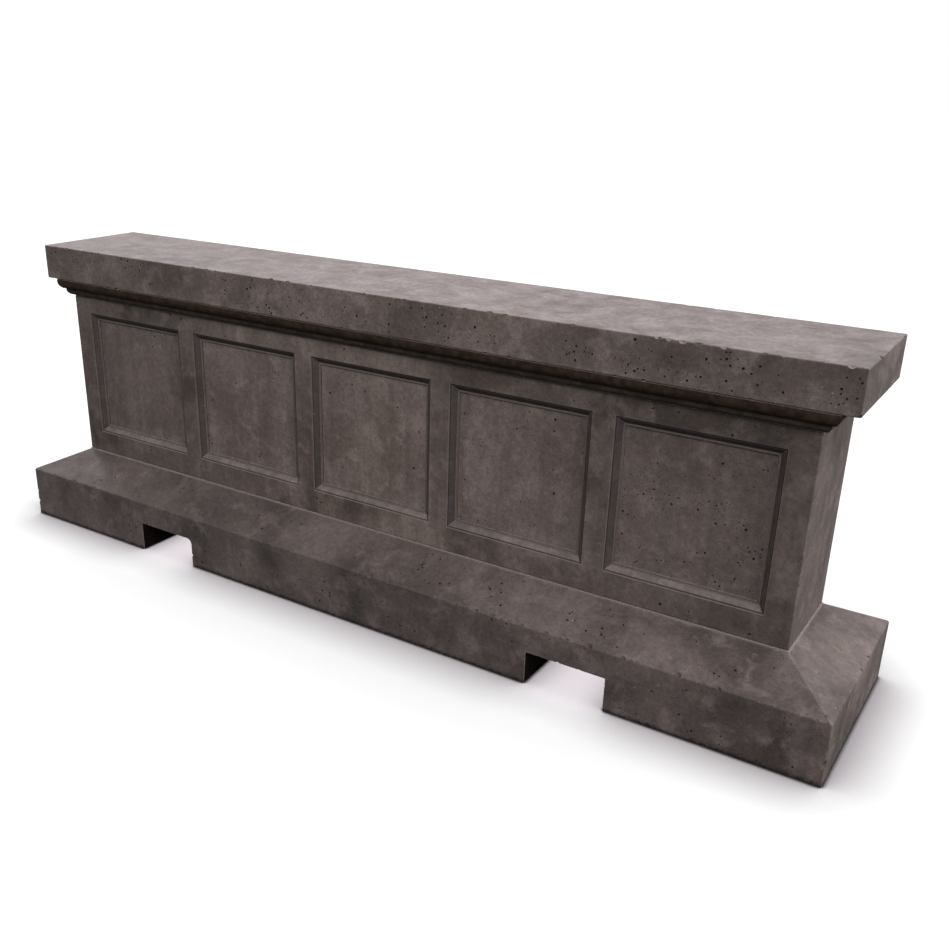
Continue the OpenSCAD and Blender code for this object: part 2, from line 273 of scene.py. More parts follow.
    cells = add(tree, "ShaderNodeTexVoronoi", {
        "Vector": shifted, "Scale": 1 / PINHOLE_CELL, "Randomness": 1.0})
    chosen = add(tree, "ShaderNodeSeparateColor", {0: cells.outputs["Color"]})
    size = add(tree, "ShaderNodeMapRange", {
        "Value": chosen.outputs[0], "From Min": 0.55, "From Max": 1.0,
        "To Min": 0.0, "To Max": 0.15})
    pinhole_shade = add(tree, "ShaderNodeMath", {
        0: cells.outputs["Distance"], 1: size.outputs[0]}, operation="LESS_THAN")
    speck_or_hole = add(tree, "ShaderNodeMath", {
        0: chosen.outputs[1], 1: 0.10}, operation="LESS_THAN")
    spot = add(tree, "ShaderNodeMix", {
        0: speck_or_hole.outputs[0], 6: srgb("#1a1615"), 7: srgb("#8d8681")},
        data_type="RGBA")
    tone = add(tree, "ShaderNodeMix", {
        0: pinhole_shade.outputs[0], 6: tone.outputs[2], 7: spot.outputs[2]}, data_type="RGBA")

    rough_share = add(tree, "ShaderNodeMapRange", {
        "Value": blotches.outputs[0], "From Min": 0.3, "From Max": 0.7,
        "To Min": rough - 0.08, "To Max": rough + 0.08})
    height = add(tree, "ShaderNodeMath", {
        0: blotches.outputs[0], 1: 3.0, 2: grain.outputs[0]}, operation="MULTIPLY_ADD")
    bump = add(tree, "ShaderNodeBump", {
        "Strength": 0.45, "Distance": 0.6 * MM, "Height": height.outputs[0]})
    tree.links.new(tone.outputs[2], shader.inputs["Base Color"])
    tree.links.new(rough_share.outputs[0], shader.inputs["Roughness"])
    tree.links.new(bump.outputs[0], shader.inputs["Normal"])
    shader.inputs["IOR"].default_value = 1.5
    shader.inputs["Specular IOR Level"].default_value = 0.4
    return material


# The coping's trowelled top is paler: dust, and painted sheen.
coping_finish = cast_concrete("trowelled_charcoal_concrete",
                              ("#443b37", "#5e534f", "#6e6360", "#7a7273"), 0.06, 0.62, 3.1,
                              pale_x=0.1, pale=0.18)
wall_finish = cast_concrete("moulded_charcoal_concrete",
                            ("#352c28", "#544a46", "#5e5450", "#70665f"), 0.16, 0.72, 7.7,
                            pale=0.42)
field_finish = cast_concrete("panel_field_concrete",
                             ("#473d39", "#584e4b", "#625854", "#70665f"), 0.15, 0.72, 7.7,
                             pale=0.50)
# The panel moulding is painted darker as shade, and paler where it faces up: dust and painted
# light from above.
shaded_moulding_finish = cast_concrete("panel_moulding_painted_shade",
                                ("#2e2624", "#3a312e", "#453c39", "#6e6461"), 0.10, 0.72, 7.7,
                                dust_sheen_from=0.3, dust_sheen_full=8 / 15)
plinth_finish = cast_concrete("plinth_charcoal_concrete",
                              ("#332b28", "#524845", "#615654", "#746b6c"), 0.08, 0.72, 11.3,
                              pale_x=1.0, pale=0.18)

# %% [markdown]
# ### Small finishes
# The rest are plainer.  Each starts from what the real thing is: a rubbed arris is
# paler than the face and is painted paler still as a highlight, a break is painted
# dark as the shade in its hollow, a pit holds dirt and is painted dark as shade,
# the quirks, the bed mould and the fork pockets are painted dark as the shade in
# them, mortar is sandy, bars carry mill scale with rust on it, and plastics are
# moulded.

# %% Small finishes
def speckled(name, base, spot, spot_size, share, rough, bump_depth, metallic=0.0,
             gloss=0.5):
    """A colour with soft spots of another, the size of one spot given in metres."""
    material, tree, shader, place = new_material(name)
    spots = add(tree, "ShaderNodeTexNoise", {
        "Vector": place, "Scale": 1 / spot_size, "Detail": 4, "Roughness": 0.65})
    mask = add(tree, "ShaderNodeMapRange", {
        "Value": spots.outputs[0], "From Min": 0.62 - share, "From Max": 0.72 - share / 2})
    tone = add(tree, "ShaderNodeMix", {
        0: mask.outputs[0], 6: srgb(base), 7: srgb(spot)}, data_type="RGBA")
    sheen = add(tree, "ShaderNodeMapRange", {
        "Value": spots.outputs[0], "From Min": 0.3, "From Max": 0.7,
        "To Min": rough - 0.07, "To Max": rough + 0.07})
    bump = add(tree, "ShaderNodeBump", {
        "Strength": 0.5, "Distance": bump_depth, "Height": spots.outputs[0]})
    tree.links.new(tone.outputs[2], shader.inputs["Base Color"])
    tree.links.new(sheen.outputs[0], shader.inputs["Roughness"])
    tree.links.new(bump.outputs[0], shader.inputs["Normal"])
    shader.inputs["Metallic"].default_value = metallic
    shader.inputs["Specular IOR Level"].default_value = gloss
    return material


# Chips and scuffs are painted dark, as the shade in a break.
chip_shade_finish = speckled("chip_painted_shade", "#352d2a", "#554b47", 3 * MM, 0.15, 0.85,
                         0.5 * MM)
# Arrises are rubbed paler, and painted paler still as a highlight.
arris_wear_and_highlight = speckled("worn_arris_highlight", "#635854", "#7a6f6b", 6 * MM, 0.25, 0.8, 0.1 * MM)
soft_arris_wear_and_highlight = speckled("rubbed_moulding_highlight", "#554b47", "#655b57", 6 * MM, 0.25, 0.8,
                             0.1 * MM)
# The quirks and grooves round the panels are painted dark, as shade.
quirk_shade_finish = speckled("quirk_painted_shade", "#1f1a17", "#2c2522", 5 * MM, 0.2, 0.9, 0.1 * MM,
                        gloss=0.2)
# The bed mould is painted dark as the shade under the coping; the upper one darker still.
lower_mould_shade_finish = speckled("lower_mould_painted_shade", "#2b221e", "#40362f", 25 * MM, 0.2, 0.85,
                              0.2 * MM, gloss=0.2)
coping_shadow_finish = speckled("painted_coping_shadow", "#251b16", "#362b23", 18 * MM, 0.2, 0.85,
                       0.2 * MM, gloss=0.1)
# The fork pockets are painted near black, as the shade inside them.
pocket_shade_finish = speckled("pocket_painted_shade", "#0e0a08", "#17110e", 18 * MM, 0.2, 0.9,
                         0.2 * MM, gloss=0.05)
# Pits are dark with dirt and painted shade.
pit_dirt_and_shade_finish = speckled("air_pit_dirt_and_shade", "#241d1a", "#352d29", 2 * MM, 0.1, 0.9, 0.2 * MM, gloss=0.2)
mortar_finish = speckled("sand_mortar", "#685e5b", "#827874", 4 * MM, 0.2, 0.85, 0.4 * MM)
grout_finish = speckled("dowel_grout", "#83817c", "#9a9893", 5 * MM, 0.2, 0.8, 0.3 * MM)
bar_finish = speckled("mill_scale_steel", "#4b4a4d", "#7d4a2c", 9 * MM, 0.2, 0.6,
                      0.2 * MM, 0.7)
duct_finish = speckled("galvanised_steel", "#9ba1a4", "#b6bcbf", 8 * MM, 0.2, 0.38,
                       0.05 * MM, 1.0)
block_finish = speckled("fibre_cement", "#a9a59a", "#bdb9ae", 6 * MM, 0.2, 0.85, 0.3 * MM)
wheel_finish = speckled("black_polypropylene", "#17171a", "#222226", 12 * MM, 0.1, 0.45,
                        0.03 * MM)
shim_finish = speckled("blue_polystyrene", "#25548c", "#2d62a0", 15 * MM, 0.1, 0.4,
                       0.03 * MM)

# %% Finish the nodes that keep their frame shape
KEPT = {
    bar_finish: ["plinth_long_bars", "plinth_hoops", "pocket_trimmers", "wall_long_bars",
                 "wall_hoops", "foot_dowels", "coping_dowels", "coping_long_bars",
                 "coping_cross_bars"],
    duct_finish: ["dowel_ducts"],
    grout_finish: ["duct_grout", "coping_dowel_grout"],
    block_finish: ["plinth_spacers", "coping_spacers"],
    wheel_finish: ["wheel_spacers"],
    shim_finish: ["foot_shims", "mould_shims", "coping_shims"],
}
for finish, names in KEPT.items():
    for name in names:
        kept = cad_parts[name]
        kept.data.materials.clear()
        kept.data.materials.append(finish)
print("kept nodes:", sum(len(names) for names in KEPT.values()))

# %% [markdown]
# ## Modelling helpers
# An operator works on all that is selected, so each helper deselects first and
# then picks faces or edges by where they are.

# %% Modelling helpers
def deselect():
    bpy.ops.object.select_all(action="DESELECT")


def make_active(piece):
    deselect()
    piece.select_set(True)
    bpy.context.view_layer.objects.active = piece


def block(name, low, high):
    """A box between two corners, with its place in its mesh."""
    deselect()
    low, high = Vector(low), Vector(high)
    bpy.ops.mesh.primitive_cube_add(size=1, location=(low + high) / 2)
    piece = bpy.context.object
    piece.name = name
    piece.scale = high - low
    bpy.ops.object.transform_apply(location=True, rotation=True, scale=True)
    return piece


def edit_faces(piece, wanted):
    """Goes into edit mode with the faces selected whose centre and normal pass."""
    make_active(piece)
    bpy.ops.object.mode_set(mode="EDIT")
    bpy.ops.mesh.select_mode(type="FACE")
    bpy.ops.mesh.select_all(action="DESELECT")
    bpy.ops.object.mode_set(mode="OBJECT")
    for face in piece.data.polygons:
        face.select = wanted(face.center, face.normal)
    bpy.ops.object.mode_set(mode="EDIT")


def bevel_edges(piece, wanted, width, steps):
    """Rounds the edges whose two ends both pass."""
    make_active(piece)
    bpy.ops.object.mode_set(mode="EDIT")
    bpy.ops.mesh.select_mode(type="EDGE")
    bpy.ops.mesh.select_all(action="DESELECT")
    bpy.ops.object.mode_set(mode="OBJECT")
    at = [v.co for v in piece.data.vertices]
    for edge in piece.data.edges:
        edge.select = wanted(at[edge.vertices[0]], at[edge.vertices[1]])
    bpy.ops.object.mode_set(mode="EDIT")
    bpy.ops.mesh.bevel(offset=width, offset_type="OFFSET", segments=steps)
    bpy.ops.object.mode_set(mode="OBJECT")


def outward(piece):
    make_active(piece)
    bpy.ops.object.mode_set(mode="EDIT")
    bpy.ops.mesh.select_all(action="SELECT")
    bpy.ops.mesh.normals_make_consistent(inside=False)
    bpy.ops.object.mode_set(mode="OBJECT")


def rising(name, rings):
    """A closed block that rises through rectangles: half length, half width, height."""
    deselect()
    x, y, z = rings[0]
    bpy.ops.mesh.primitive_plane_add(size=2, location=(0, 0, z))
    piece = bpy.context.object
    piece.name = name
    piece.scale = (x, y, 1)
    bpy.ops.object.transform_apply(location=True, rotation=True, scale=True)
    bpy.ops.object.mode_set(mode="EDIT")
    bpy.ops.mesh.select_all(action="SELECT")
    for (x0, y0, z0), (x1, y1, z1) in zip(rings, rings[1:]):
        bpy.ops.mesh.extrude_region_move(TRANSFORM_OT_translate={"value": (0, 0, z1 - z0)})
        bpy.ops.transform.resize(value=(x1 / x0, y1 / y0, 1), center_override=(0, 0, z1))
    bpy.ops.object.mode_set(mode="OBJECT")
    outward(piece)
    return piece


def join(pieces, name):
    make_active(pieces[0])
    for piece in pieces:
        piece.select_set(True)
    bpy.ops.object.join()
    bpy.context.object.name = name
    return bpy.context.object


def soften(piece, width, finish):
    """A fine bevel on every sharp edge, in a finish of its own."""
    make_active(piece)
    piece.data.materials.append(finish)
    bevel = piece.modifiers.new("soften", "BEVEL")
    bevel.width = width
    bevel.segments = 2
    bevel.limit_method = "ANGLE"
    bevel.angle_limit = math.radians(40)
    # The bevel faces take the arris finish: rubbed, and painted paler as a highlight.
    bevel.material = len(piece.data.materials) - 1
    bpy.ops.object.modifier_apply(modifier=bevel.name)


def take_away(piece, cutter):
    """Cuts one closed mesh out of another, and keeps the cutter's finish there."""
    make_active(piece)
    cut = piece.modifiers.new("take_away", "BOOLEAN")
    cut.operation = "DIFFERENCE"
    cut.solver = "MANIFOLD"
    cut.object = cutter
    cut.material_mode = "TRANSFER"
    bpy.ops.object.modifier_apply(modifier=cut.name)
    bpy.data.objects.remove(cutter)


def finish_piece(piece, slot, *nodes):
    """Shades a finished piece, hangs it under the root and hides the frame nodes that it stands
    for.
    """
    make_active(piece)
    bpy.ops.object.shade_smooth_by_angle(angle=math.radians(32))
    flat = piece.modifiers.new("keep_big_faces_flat", "WEIGHTED_NORMAL")
    flat.weight = 100
    flat.keep_sharp = True
    bpy.ops.object.modifier_apply(modifier=flat.name)
    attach(piece, "root")
    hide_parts(*nodes)
    print(piece.name, "faces:", len(piece.data.polygons))


# %% [markdown]
# ## Pits and chips
# Air bubbles caught against the mould leave pits a few millimetres wide, in
# clusters.  Knocks leave chips along the arrises.  Both are modelled once, as a
# small rough ball, and taken away from the casting where they belong.  The ball's
# own finish stays in the hollow that it leaves: dirt and painted shade in a pit,
# painted shade in a chip, and a painted highlight where an arris is rubbed.  A noise
# decides where the pits crowd, so they cluster as they do on a real casting.

# %% Pit and chip cutters
dice = random.Random(20)


def rough_ball(name, finish):
    deselect()
    bpy.ops.mesh.primitive_ico_sphere_add(subdivisions=2, radius=1)
    ball = bpy.context.object
    ball.name = name
    bpy.ops.object.mode_set(mode="EDIT")
    bpy.ops.mesh.select_all(action="SELECT")
    bpy.ops.transform.vertex_random(offset=0.12, seed=4)
    bpy.ops.object.mode_set(mode="OBJECT")
    ball.data.materials.append(finish)
    ball.hide_render = True
    return ball


pit_ball = rough_ball("pit_ball", pit_dirt_and_shade_finish)
chip_ball = rough_ball("chip_ball", chip_shade_finish)
pale_ball = rough_ball("pale_ball", arris_wear_and_highlight)


def place_ball(ball, centre, size, turn):
    """A copy of a ball with its own mesh, sized, turned and put in place."""
    copy = ball.copy()
    copy.data = ball.data.copy()
    copy.hide_render = False
    copy.location = centre
    copy.rotation_euler = turn
    copy.scale = size
    bpy.context.collection.objects.link(copy)
    return copy


def any_turn():
    return [dice.uniform(0, math.tau) for _ in range(3)]


def clear_of(centre, reach, taken):
    return all((centre - other).length > reach + span for other, span in taken)


def pit_cutter(faces):
    """Pits on flat faces: a corner, two sides, a normal, a count, a crowding rule."""
    balls, taken = [], []
    for corner, side_a, side_b, normal, count, crowd in faces:
        made, tries = 0, 0
        while made < count and tries < 60 * count:
            tries += 1
            spot = corner + side_a * dice.random() + side_b * dice.random()
            if noise.noise(spot * 9) + 0.5 * noise.noise(spot * 31) < crowd(spot):
                continue
            reach = (0.8 + 2.5 * dice.random() ** 4) * MM
            if not clear_of(spot, 1.3 * reach, taken):
                continue
            stretch = [reach * dice.uniform(0.8, 1.25) for _ in range(3)]
            balls.append(place_ball(pit_ball, spot - normal * 0.25 * reach, stretch, any_turn()))
            taken.append((spot, 1.3 * reach))
            made += 1
    print("pits:", len(balls))
    return join(balls, "pits")


def chip_cutter(edges, ball):
    """Chips along straight arrises: two ends, the way out, a count and a size."""
    balls, taken = [], []
    for start, end, out, count, largest in edges:
        along = (end - start).normalized()
        for _ in range(count):
            share = dice.random()
            reach = largest * (0.25 + 0.75 * dice.random() ** 2)
            centre = start.lerp(end, share) + out * reach * dice.uniform(0.45, 0.85)
            if not clear_of(centre, 1.75 * reach, taken):
                continue
            size = [reach * dice.uniform(0.8, 1.6) for _ in range(3)]
            balls.append(place_ball(ball, centre, size, any_turn()))
            taken.append((centre, 1.75 * reach))
    print("chips:", len(balls))
    return join(balls, "chips")


def box_edges(low, high, counts, largest):
    """The arrises of a box, with their way out.  Counts: along x, along y, upright."""
    edges = []
    for sa in (0, 1):
        for sb in (0, 1):
            ya, zb = (low.y, high.y)[sa], (low.z, high.z)[sb]
            out = Vector((0, 2 * sa - 1, 2 * sb - 1)).normalized()
            edges.append((Vector((low.x, ya, zb)), Vector((high.x, ya, zb)), out,
                          counts[0], largest))
            xa = (low.x, high.x)[sa]
            out = Vector((2 * sa - 1, 0, 2 * sb - 1)).normalized()
            edges.append((Vector((xa, low.y, zb)), Vector((xa, high.y, zb)), out,
                          counts[1], largest))
            yb = (low.y, high.y)[sb]
            out = Vector((2 * sa - 1, 2 * sb - 1, 0)).normalized()
            edges.append((Vector((xa, yb, low.z)), Vector((xa, yb, high.z)), out,
                          counts[2], largest))
    return edges


def towards_right(start, stop):
    """A crowding rule: few pits at the left end of the barrier, many at the right."""
    def rule(spot):
        share = (spot.x - cad_low.x) / (cad_high.x - cad_low.x)
        return start + (stop - start) * share
    return rule


# %% [markdown]
# ## Plinth
# The plinth is an upright band under four weathered slopes, with mitred hips.  It
# grows from one rectangle: up the band, then up and in to the seat.  The fork
# pockets are taken away as the former that made them would leave them.  The top
# corner of one has worn round.

# %% Model the plinth
plinth = rising("plinth_casting", [
    (plinth_high.x, plinth_high.y, plinth_low.z + UNDERSIDE_LIFT),
    (plinth_high.x, plinth_high.y, PLINTH_FACE_H),
    (seat.x, seat.y, plinth_high.z)])
plinth.data.materials.append(plinth_finish)
bevel_edges(plinth, lambda a, b: True, ARRIS, 3)
for side in (-1, 1):
    former = block("pocket_former",
                   (side * POCKET_X - POCKET_W / 2, 1.1 * plinth_low.y, -POCKET_H),
                   (side * POCKET_X + POCKET_W / 2, 1.1 * plinth_high.y, POCKET_H))
    worn_x = side * POCKET_X + POCKET_W / 2
    if side < 0:
        bevel_edges(former, lambda a, b: min(a.x, b.x) > worn_x - MM
                    and min(a.z, b.z) > POCKET_H - MM, WORN_POCKET_R, 6)
    # The pocket faces take the painted shade.
    former.data.materials.append(pocket_shade_finish)
    take_away(plinth, former)
soften(plinth, FINE_ARRIS, arris_wear_and_highlight)

# %% Wear the plinth
END_CLEAR = 12 * MM                             # no pits nearer to an end than this
EDGE_CLEAR = 8 * MM
CHIP = 10 * MM
BIG_CHIP = 12 * MM
FOOT_CHIP = 9 * MM
POCKET_CHIP = 6 * MM
HIP_CHIP = 4 * MM
RAGGED_FROM_X = -0.2                            # the long arrises are ragged from here on
WORST_FROM_X = 0.1

band_h = PLINTH_FACE_H
slope_normal = Vector((0, -(plinth_high.z - band_h), plinth_high.y - seat.y)).normalized()
slope_up = Vector((0, plinth_high.y - seat.y, plinth_high.z - band_h))
front = Vector((1, 1, 1))
back = Vector((1, -1, 1))
length_x = Vector((2 * (plinth_high.x - END_CLEAR), 0, 0))
plinth_faces = []
for flip in (front, back):
    band_corner = Vector((-plinth_high.x + END_CLEAR, plinth_low.y, EDGE_CLEAR)) * flip
    plinth_faces.append((band_corner, length_x, Vector((0, 0, band_h - 2 * EDGE_CLEAR)),
                         Vector((0, -1, 0)) * flip, 340, towards_right(0.2, -0.2)))
    slope_corner = Vector((-seat.x, plinth_low.y, band_h)) * flip
    plinth_faces.append((slope_corner + slope_up * flip * 0.08,
                         Vector((2 * seat.x, 0, 0)), slope_up * flip * 0.84,
                         slope_normal * flip, 240, towards_right(0.35, -0.05)))
take_away(plinth, pit_cutter(plinth_faces))


def along_x(x0, x1, y, z, out, count, largest):
    """One level arris for the chip cutter, from x0 to x1."""
    return (Vector((x0, y, z)), Vector((x1, y, z)), Vector(out).normalized(), count, largest)


CORNERS = [(sx, sy) for sx in (-1, 1) for sy in (-1, 1)]
band_top = Vector((plinth_high.x, plinth_high.y, band_h))
plinth_edges = box_edges(Vector(plinth_low), band_top, (90, 18, 8), CHIP)
plinth_edges.append(along_x(WORST_FROM_X, plinth_high.x, plinth_low.y, band_h,
                            (0, -1, 1), 40, BIG_CHIP))
for y in (plinth_low.y, plinth_high.y):
    out_y = math.copysign(1, y)
    plinth_edges.append(along_x(RAGGED_FROM_X, plinth_high.x, y, band_h - MM,
                                (0, out_y, 0.35), 130, CHIP))
    plinth_edges.append(along_x(RAGGED_FROM_X, plinth_high.x, y, MM,
                                (0, out_y, -0.35), 90, FOOT_CHIP))
for sx, sy in CORNERS:
    foot = Vector((sx * plinth_high.x, sy * plinth_high.y, 0))
    head = Vector((sx * plinth_high.x, sy * plinth_high.y, band_h))
    plinth_edges.append((foot, head, Vector((sx, sy, 0)).normalized(), 26, BIG_CHIP))
for sx in (-1, 1):
    for sy in (-1, 1):
        low_end = Vector((sx * plinth_high.x, sy * plinth_high.y, band_h))
        high_end = Vector((sx * seat.x, sy * seat.y, plinth_high.z))
        plinth_edges.append((low_end, high_end,
                             Vector((sx * 0.3, sy * 0.3, 0.9)).normalized(), 5, HIP_CHIP))
    for jamb in (-1, 1):
        x = sx * POCKET_X + jamb * POCKET_W / 2
        plinth_edges.append((Vector((x, plinth_low.y, 0)),
                             Vector((x, plinth_low.y, POCKET_H)),
                             Vector((-jamb, -1, 0)).normalized(), 6, POCKET_CHIP))
    plinth_edges.append(along_x(sx * POCKET_X - POCKET_W / 2, sx * POCKET_X + POCKET_W / 2,
                                plinth_low.y, POCKET_H, (0, -1, -1), 8, POCKET_CHIP))
take_away(plinth, chip_cutter(plinth_edges, chip_ball))

# %% Scuffs that forks leave beside the pockets
SCUFF_ROWS = 5
LOWEST_SCUFF = 22 * MM
SCUFF_STEP = 13 * MM                            # rows this far apart never meet
SCUFF_SINK = 1.4 * MM

scuffs = []
for sx, sy in CORNERS:
    for row in range(SCUFF_ROWS):
        side = dice.choice((-1, 1))
        x = sx * POCKET_X + side * (POCKET_W / 2 + dice.uniform(35, 140) * MM)
        centre = Vector((x, sy * plinth_high.y, LOWEST_SCUFF + SCUFF_STEP * row))
        size = (dice.uniform(8, 24) * MM, SCUFF_SINK, dice.uniform(0.8, 2.0) * MM)
        # Each scuff takes the chip's painted shade.
        scuffs.append(place_ball(chip_ball, centre, size,
                                 (0, dice.uniform(-0.12, 0.12), 0)))
take_away(plinth, join(scuffs, "scuffs"))
finish_piece(plinth, "cast_concrete", "plinth")

# %% [markdown]
# ## Wall
# The sunk panels are made as the mould makes them: a raised block for each panel,
# whose face is inset in steps along the moulding's curve, is taken away from the
# wall.  From outside in there is a quirk, a cyma that is level where it starts and
# ends and steep halfway, a fine groove, a flat fillet and a step down to the field.
# The moulding is painted darker as shade, and paler where it faces up, as dust and
# painted light from above.  The quirk and the groove are painted dark as shade, but
# not on the bottom member, which faces up into the light.

# %% Model the panel block
def panel_steps():
    """Steps of inset, depth and finish that follow the moulding from outside to inside."""
    curve_w = PANEL_MOULD_W - QUIRK_W - GROOVE - FILLET_W
    fillet_depth = PANEL_DEPTH - INNER_STEP
    rows = [(0, QUIRK, None), (QUIRK_W, QUIRK, quirk_shade_finish)]
    for i in range(1, CURVE_STEPS + 1):
        t = i / CURVE_STEPS
        sunk = (fillet_depth - QUIRK) * (1 - math.cos(math.pi * t)) / 2
        rows.append((QUIRK_W + t * curve_w, QUIRK + sunk, shaded_moulding_finish))
    groove_x = QUIRK_W + curve_w
    rows += [(groove_x, fillet_depth + GROOVE, quirk_shade_finish),
             (groove_x + GROOVE, fillet_depth + GROOVE, quirk_shade_finish),
             (groove_x + GROOVE, fillet_depth, quirk_shade_finish),
             (PANEL_MOULD_W, fillet_depth, wall_finish),
             (PANEL_MOULD_W, PANEL_DEPTH, quirk_shade_finish)]
    return [(b[0] - a[0], b[1] - a[1], b[2]) for a, b in zip(rows, rows[1:])]


LEAST_INSET = 0.001 * MM                        # an inset of nothing makes no new face
panel_block = block("panel_block",
                    (-panel_w / 2, wall_low.y - 10 * MM, panel_low_z),
                    (panel_w / 2, wall_low.y + QUIRK, panel_high_z))
panel_finishes = [wall_finish, quirk_shade_finish, shaded_moulding_finish, field_finish]
for finish in panel_finishes:
    panel_block.data.materials.append(finish)
edit_faces(panel_block, lambda centre, normal: normal.y > 0.9)
for inset, depth, finish in panel_steps():
    panel_block.active_material_index = panel_finishes.index(finish)
    bpy.ops.object.material_slot_assign()
    bpy.ops.mesh.inset(thickness=max(inset, LEAST_INSET), depth=depth)
panel_block.active_material_index = panel_finishes.index(field_finish)
bpy.ops.object.material_slot_assign()
bpy.ops.object.mode_set(mode="OBJECT")
# The bottom member faces up into the light, so its quirk takes the moulding's finish instead of
# painted shade.
for face in panel_block.data.polygons:
    bottom_member = face.center.z < panel_low_z + PANEL_MOULD_W + MM
    if bottom_member and panel_finishes[face.material_index] == quirk_shade_finish:
        face.material_index = panel_finishes.index(shaded_moulding_finish)
print("panel block reaches y", max(v.co.y for v in panel_block.data.vertices))

# %% Model the wall
wall = block("wall_casting", wall_low, wall_high)
wall.data.materials.append(wall_finish)
bevel_edges(wall, lambda a, b: True, ARRIS, 3)
blocks = []
for turned in (0, math.pi):
    for x in panel_xs:
        copy = panel_block.copy()
        copy.data = panel_block.data.copy()
        copy.rotation_euler = (0, 0, turned)
        copy.location = (x, 0, 0)
        bpy.context.collection.objects.link(copy)
        blocks.append(copy)
take_away(wall, join(blocks, "panel_blocks"))
bpy.data.objects.remove(panel_block)
soften(wall, FINE_ARRIS, soft_arris_wear_and_highlight)

# %% Wear the wall
PANEL_PITS = [16, 16, 28, 80, 260]              # pits crowd towards the right end
RAIL_PITS = 60
LOW_CLEAR = 6 * MM
HIGH_CLEAR = 4 * MM

wall_faces = []
field_h = panel_high_z - panel_low_z - 2 * PANEL_MOULD_W
field_w = panel_w - 2 * PANEL_MOULD_W
for flip in (front, back):
    face_y = wall_low.y * flip.y
    field_y = (wall_low.y + PANEL_DEPTH) * flip.y
    normal = Vector((0, -1, 0)) * flip
    for x, count in zip(panel_xs, PANEL_PITS):
        corner = Vector((x - field_w / 2, field_y, panel_low_z + PANEL_MOULD_W))
        wall_faces.append((corner, Vector((field_w, 0, 0)), Vector((0, 0, field_h)), normal,
                           count, towards_right(0.1, -0.1)))
    for z, rail_h in ((wall_low.z + LOW_CLEAR, BOTTOM_RAIL_H - 2 * LOW_CLEAR),
                      (panel_high_z + HIGH_CLEAR, TOP_RAIL_H - 2 * HIGH_CLEAR)):
        wall_faces.append((Vector((wall_low.x + EDGE_CLEAR, face_y, z)),
                           Vector((2 * wall_high.x - 2 * EDGE_CLEAR, 0, 0)),
                           Vector((0, 0, rail_h)), normal, RAIL_PITS,
                           towards_right(0.4, -0.1)))
take_away(wall, pit_cutter(wall_faces))
wall_edges = box_edges(wall_low, wall_high, (0, 0, 16), 4 * MM)
take_away(wall, chip_cutter(wall_edges, chip_ball))
finish_piece(wall, "cast_concrete", "wall")

# %% [markdown]
# ## Bed mould
# Two small quarter-round mouldings, one over the other, carry the eye out from the
# wall to the coping.  The block rises through rectangles that grow as the profile
# does, so its corners mitre by themselves.  Both are painted dark as the shade under
# the coping, and the upper one, deeper in that shade, is painted darker still.

# %% Model the bed mould
def mould_rings():
    """Half length, half width and height of the bed mould at each step of its curve."""
    reach = mould_high.y - wall_high.y
    low_out = (reach - OVOLO_SHELF) / 2
    full_h = mould_high.z - mould_low.z
    rows = []
    for out, z, top in ((0, 0, OVOLO_LOW_H), (low_out + OVOLO_SHELF, OVOLO_LOW_H, full_h)):
        rise = top - z - OVOLO_UPRIGHT
        for i in range(CURVE_STEPS + 1):
            turn = math.pi / 2 * i / CURVE_STEPS
            rows.append((out + low_out * math.sin(turn), z + rise * (1 - math.cos(turn))))
        rows.append((out + low_out, top))
    return [(wall_high.x + out, wall_high.y + out, mould_low.z + z) for out, z in rows]


bed_mould = rising("bed_mould_casting", mould_rings())
# Painted shade under the coping: dark below, darker in the upper ovolo.
bed_mould.data.materials.append(lower_mould_shade_finish)
bed_mould.data.materials.append(coping_shadow_finish)
edit_faces(bed_mould, lambda centre, normal: centre.z > mould_low.z + OVOLO_LOW_H + MM)
bed_mould.active_material_index = 1
bpy.ops.object.material_slot_assign()
bpy.ops.object.mode_set(mode="OBJECT")
finish_piece(bed_mould, "cast_concrete", "bed_mould")

# %% [markdown]
# ## Coping
# The coping is a plain slab, trowelled smooth on top.  What shows its age is its
# arrises, so they get the most chips, and its front face has the most pits.

# %% Model and wear the coping
COPING_CLEAR = 6 * MM
COPING_CHIP = 9 * MM
CORNER_CHIP = 7 * MM
RUBBED = 420 * MM                               # how far the right end's arrises are rubbed
RUBBED_CHIP = 8 * MM

coping = block("coping_casting", coping_low, coping_high)
coping.data.materials.append(coping_finish)
bevel_edges(coping, lambda a, b: True, ARRIS, 3)
coping_h = coping_high.z - coping_low.z
coping_faces = []
for flip in (front, back):
    corner = Vector((coping_low.x + COPING_CLEAR, coping_low.y * flip.y,
                     coping_low.z + COPING_CLEAR))
    coping_faces.append((corner, Vector((2 * coping_high.x - 2 * COPING_CLEAR, 0, 0)),
                         Vector((0, 0, coping_h - 2 * COPING_CLEAR)),
                         Vector((0, -1, 0)) * flip, 480, towards_right(0.15, -0.2)))
take_away(coping, pit_cutter(coping_faces))
coping_edges = box_edges(coping_low, coping_high, (90, 18, 8), COPING_CHIP)
coping_edges.append((Vector((coping_high.x, coping_low.y, coping_low.z)),
                     Vector((coping_high.x, coping_low.y, coping_high.z)),
                     Vector((1, -1, 0)).normalized(), 14, CORNER_CHIP))
take_away(coping, chip_cutter(coping_edges, chip_ball))
